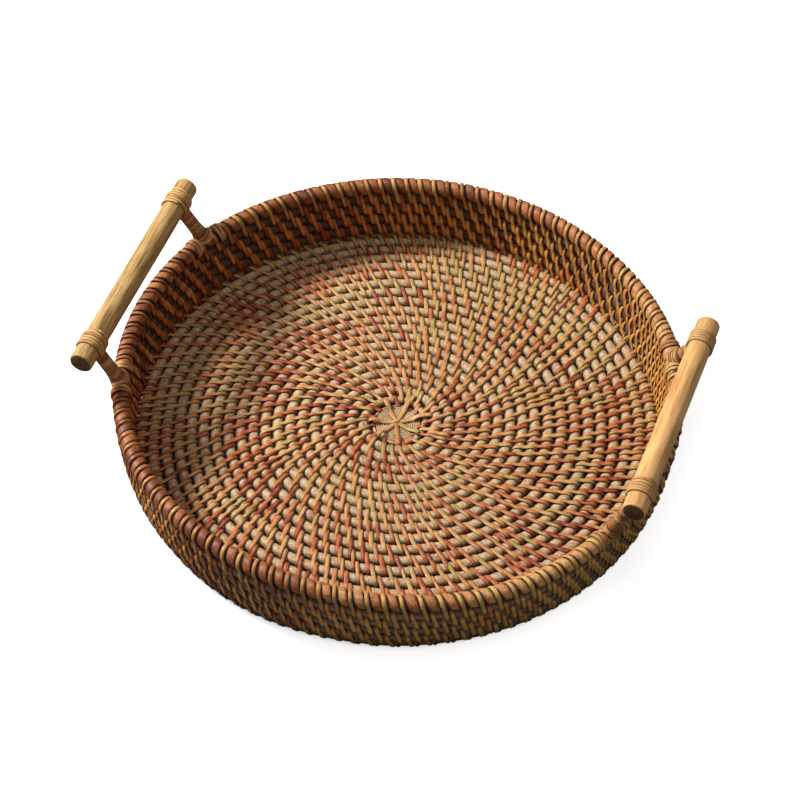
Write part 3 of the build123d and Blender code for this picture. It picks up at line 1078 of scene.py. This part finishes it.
def make_post(name, grip_radius, grip_slope, number):
    """Post with its wrapping, its lashing on the grip and the strips beside its foot."""
    rng = np.random.default_rng(SEED + 400 + number)
    lash = node_centre(f"{name}_grip_lashing")
    foot_lashing = node_centre(f"{name}_foot_lashing")
    angle = math.atan2(foot_lashing[1], foot_lashing[0])
    foot = uneven(polar(RIM_RADIUS, angle, RIM_HEIGHT))
    axis = unit(lash - foot)
    length = float(np.linalg.norm(lash - foot))
    tangent = np.array([-math.sin(angle), math.cos(angle), 0.0])
    top = length - grip_radius + 1.2

    rings, around = 26, 24
    at = np.linspace(1.0, top, rings)
    turn = np.arange(around) / around * TAU
    grid_at, grid_turn = np.meshgrid(at, turn, indexing="ij")
    points = post_surface(grid_at, grid_turn, foot, axis, tangent, -0.45)[0]
    across = np.abs(turn / math.pi - 1)[None, :]
    faces = tube_faces(rings, around, False)
    core = Piece()
    # The post's core shows only between turns of its wrapping; painted shade all over it.
    core.add(points, faces, along=at[:, None], across=across, tone=0.4, deep=0.6)
    core.build(f"{name}_post_core", RIM_CANE, "core_cane", f"{name}_post", warp=False)

    lowest, wrap_pitch, points_per_turn = 0.3, 1.72, 30
    wrap = Piece()
    turns = (top - lowest) / wrap_pitch
    count = int(turns * points_per_turn)
    share = np.linspace(0, 1, count)
    turn = share * turns * TAU + rng.uniform(0, TAU)
    at = lowest + (top - lowest) * share + 0.12 * wave(turn, number + 50, 0.1, 0.6)
    points, normals = post_surface(at, turn, foot, axis, tangent, -0.5)
    wider_at_foot = 1 + 0.25 * np.exp(-at / 3)
    width = 0.94 * (1 + 0.08 * wave(turn, number + 60, 0.1, 0.5)) * wider_at_foot
    tone = np.clip(0.42 + 0.3 * wave(turn, number + 70, 0.05, 0.4), 0, 1)
    strip(wrap, points, normals, width, 0.62, tone=tone, start=rng.uniform(0, 300))
    wrap.build(f"{name}_post_winding", LASHING, "lashing_strip", f"{name}_post_wrap", warp=False)

    lashing = Piece()
    wind_grip(lashing, lash, grip_slope, -axis, grip_radius, rng)
    node = f"{name}_grip_lashing"
    lashing.build(f"{name}_grip_turns", LASHING, "lashing_strip", node, warp=False)
    make_foot(name, angle, rng)


def make_foot(name, angle, rng):
    """Strips round the rim beside a post, spreading away from it as they go down."""
    points_round, distances = 44, (6.9, 9.1)
    half_width, thickness = 1.12, 0.75
    piece = Piece()
    tilt = np.arange(points_round) / points_round * TAU
    for way in (-1, 1):
        for lane, away in enumerate(distances):
            spreading = (1.9 - 0.5 * lane) * (1 - np.cos(tilt)) / 2
            along = way * (away + spreading + 0.2 * np.sin(2 * tilt + lane))
            local = angle + along / RIM_RADIUS
            reach = RIM_CORE + 1.0 - 0.12 * lane
            radius, height = RIM_RADIUS + reach * np.sin(tilt), RIM_HEIGHT + reach * np.cos(tilt)
            points, normals = uneven(polar(radius, local, height)), outward(tilt, local)
            tone = 0.55 + 0.25 * rng.uniform(-1, 1)
            start = rng.uniform(0, 400)
            strip(piece, points, normals, half_width, thickness, True, tone, start)
    node = f"{name}_foot_lashing"
    piece.build(f"{name}_foot_strips", LASHING, "lashing_strip", node, warp=False)


def make_handles():
    """Both grips and their four posts."""
    number = 0
    for side, material in (("left", LEFT_GRIP), ("right", RIGHT_GRIP)):
        radius, slope = make_grip(side, material)
        for corner in ("front", "rear"):
            make_post(f"{side}_{corner}", radius, slope, number)
            number += 1


# ---- stage --------------------------------------------------------------


def stage_material():
    """Plain pale ground: bright to look at, but dark to the light that bounces off it.

    Under the tray it stays dark as a painted shadow, so that no bright spots show between
    the canes.
    """
    n = Nodes("stage_white")
    matt = n.node("ShaderNodeBsdfDiffuse", {"Color": (0.9, 0.9, 0.9, 1), "Roughness": 1.0})
    glow = n.node("ShaderNodeEmission", {"Color": (1, 1, 1, 1), "Strength": GROUND_GLOW})
    seen = n.node("ShaderNodeAddShader", {0: matt.outputs[0], 1: glow.outputs[0]})
    dim = n.node("ShaderNodeBsdfDiffuse", {"Color": (0.22, 0.21, 0.2, 1), "Roughness": 1.0})
    place = n.node("ShaderNodeNewGeometry").outputs["Position"]
    from_axis = n.node("ShaderNodeVectorMath", {0: place}, operation="LENGTH").outputs["Value"]
    # Painted shadow under the tray, also for the camera.
    beyond = n.spread(from_axis, UNDER_TRAY, BEYOND_TRAY, 0.0, 1.0)
    path = n.node("ShaderNodeLightPath")
    shown = n.math("MULTIPLY", path.outputs["Is Camera Ray"], beyond)
    both = n.node("ShaderNodeMixShader", {0: shown, 1: dim.outputs[0], 2: seen.outputs[0]})
    n.node("ShaderNodeOutputMaterial", {"Surface": both.outputs[0]})
    return n.material


def area_light(name, place, size, power, colour):
    """Soft lamp at a place that turns with the view, aimed at the tray."""
    place = Matrix.Rotation(VIEW_TURN, 4, "Z") @ Vector(place)
    lamp = bpy.data.lights.new(name, "AREA")
    lamp.shape = "DISK"
    lamp.size = size
    lamp.energy = power
    lamp.color = colour
    made = bpy.data.objects.new(name, lamp)
    bpy.context.scene.collection.objects.link(made)
    made.location = place
    made.rotation_euler = (Vector(LAMP_TARGET) - place).to_track_quat("-Z", "Y").to_euler()


def make_ground():
    """Pale ground plane."""
    half = GROUND_HALF
    corners = [(-half, -half, 0), (half, -half, 0), (half, half, 0), (-half, half, 0)]
    mesh = bpy.data.meshes.new("stage_floor")
    mesh.from_pydata(corners, [], [(0, 1, 2, 3)])
    mesh.materials.append(stage_material())
    ground = bpy.data.objects.new("stage_floor", mesh)
    bpy.context.scene.collection.objects.link(ground)


def make_sky():
    """Dim warm light from all round, with a plain white backdrop for the camera."""
    world = bpy.data.worlds.new("studio")
    bpy.context.scene.world = world
    world.use_nodes = True
    tree = world.node_tree
    light = tree.nodes["Background"]
    light.inputs["Color"].default_value = (1.0, 0.94, 0.87, 1)
    light.inputs["Strength"].default_value = SKY_STRENGTH
    backdrop = tree.nodes.new("ShaderNodeBackground")
    backdrop.inputs["Color"].default_value = (1, 1, 1, 1)
    seen = tree.nodes.new("ShaderNodeLightPath").outputs["Is Camera Ray"]
    mix = tree.nodes.new("ShaderNodeMixShader")
    tree.links.new(seen, mix.inputs[0])
    tree.links.new(light.outputs[0], mix.inputs[1])
    tree.links.new(backdrop.outputs[0], mix.inputs[2])
    tree.links.new(mix.outputs[0], tree.nodes["World Output"].inputs["Surface"])


def make_camera():
    """Long lens that looks down on the tray from the front."""
    data = bpy.data.cameras.new("camera")
    data.sensor_width = 36
    data.lens = CAMERA_LENS
    data.shift_x, data.shift_y = CAMERA_SHIFT
    data.clip_end = 50
    camera = bpy.data.objects.new("camera", data)
    bpy.context.scene.collection.objects.link(camera)
    across = CAMERA_DISTANCE * math.cos(CAMERA_ELEVATION)
    height = CAMERA_DISTANCE * math.sin(CAMERA_ELEVATION)
    direction = math.radians(-90) + VIEW_TURN
    camera.location = (across * math.cos(direction), across * math.sin(direction), height)
    camera.rotation_euler = (-camera.location).to_track_quat("-Z", "Y").to_euler()
    bpy.context.scene.camera = camera
    bpy.context.scene.view_settings.view_transform = "Standard"


PLACES = stitch_places()
make_canes(PLACES)
make_stitches(PLACES)
make_centre()
make_rim(PLACES)
make_handles()
make_ground()
make_sky()
area_light("key", KEY_PLACE, KEY_SIZE, KEY_POWER, (1.0, 0.97, 0.92))
area_light("fill", FILL_PLACE, FILL_SIZE, FILL_POWER, (1.0, 0.97, 0.94))
make_camera()
